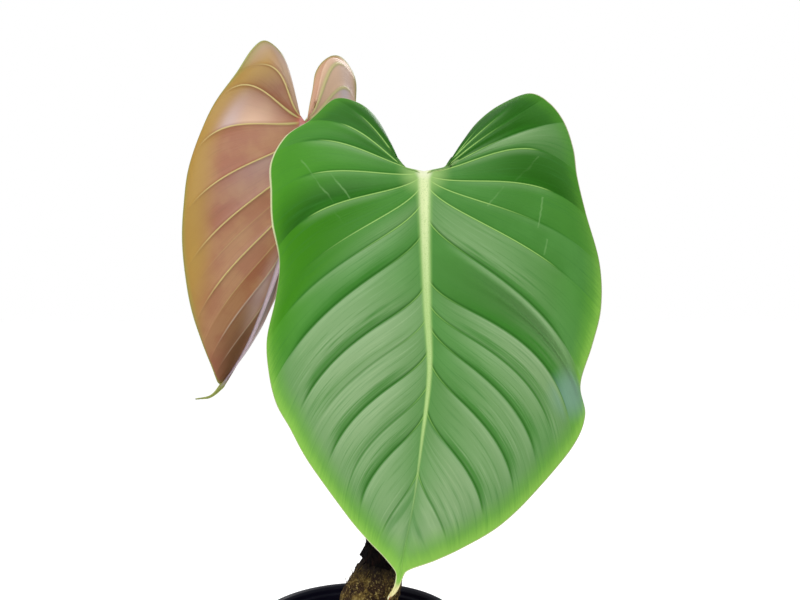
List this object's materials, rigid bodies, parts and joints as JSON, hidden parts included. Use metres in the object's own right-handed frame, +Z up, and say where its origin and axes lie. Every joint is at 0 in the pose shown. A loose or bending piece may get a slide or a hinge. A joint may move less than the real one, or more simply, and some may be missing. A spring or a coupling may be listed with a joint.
{
  "type": "potted philodendron lynamii",
  "caption": "Creeping philodendron in a round nursery pot: a short thick stem carries an upright green heart-shaped leaf and a taller bronze young leaf folded along its midrib",
  "frame": {"origin": "the centre of the pot's base, on the surface that it stands on", "axes": "+Z up; the camera of the picture looks along +Y, at the upper side of the green leaf; +X is to the right in the picture"},
  "size_m": [0.3085, 0.253, 0.5743],
  "materials": {
    "pot_plastic": "satin",
    "potting_mix": "matte",
    "stem_bark": "matte",
    "dead_sheath": "matte",
    "petiole_green": "satin",
    "petiole_bronze": "satin",
    "leaf_green": "satin",
    "leaf_bronze": "satin"
  },
  "bodies": {
    "root": {"pot": "pot_plastic", "soil": "potting_mix", "stem": "stem_bark", "old_sheath": "dead_sheath", "petiole_mature": "petiole_green", "petiole_new": "petiole_bronze", "leaf_mature": "leaf_green", "leaf_new": "leaf_bronze"}
  },
  "joints": []
}
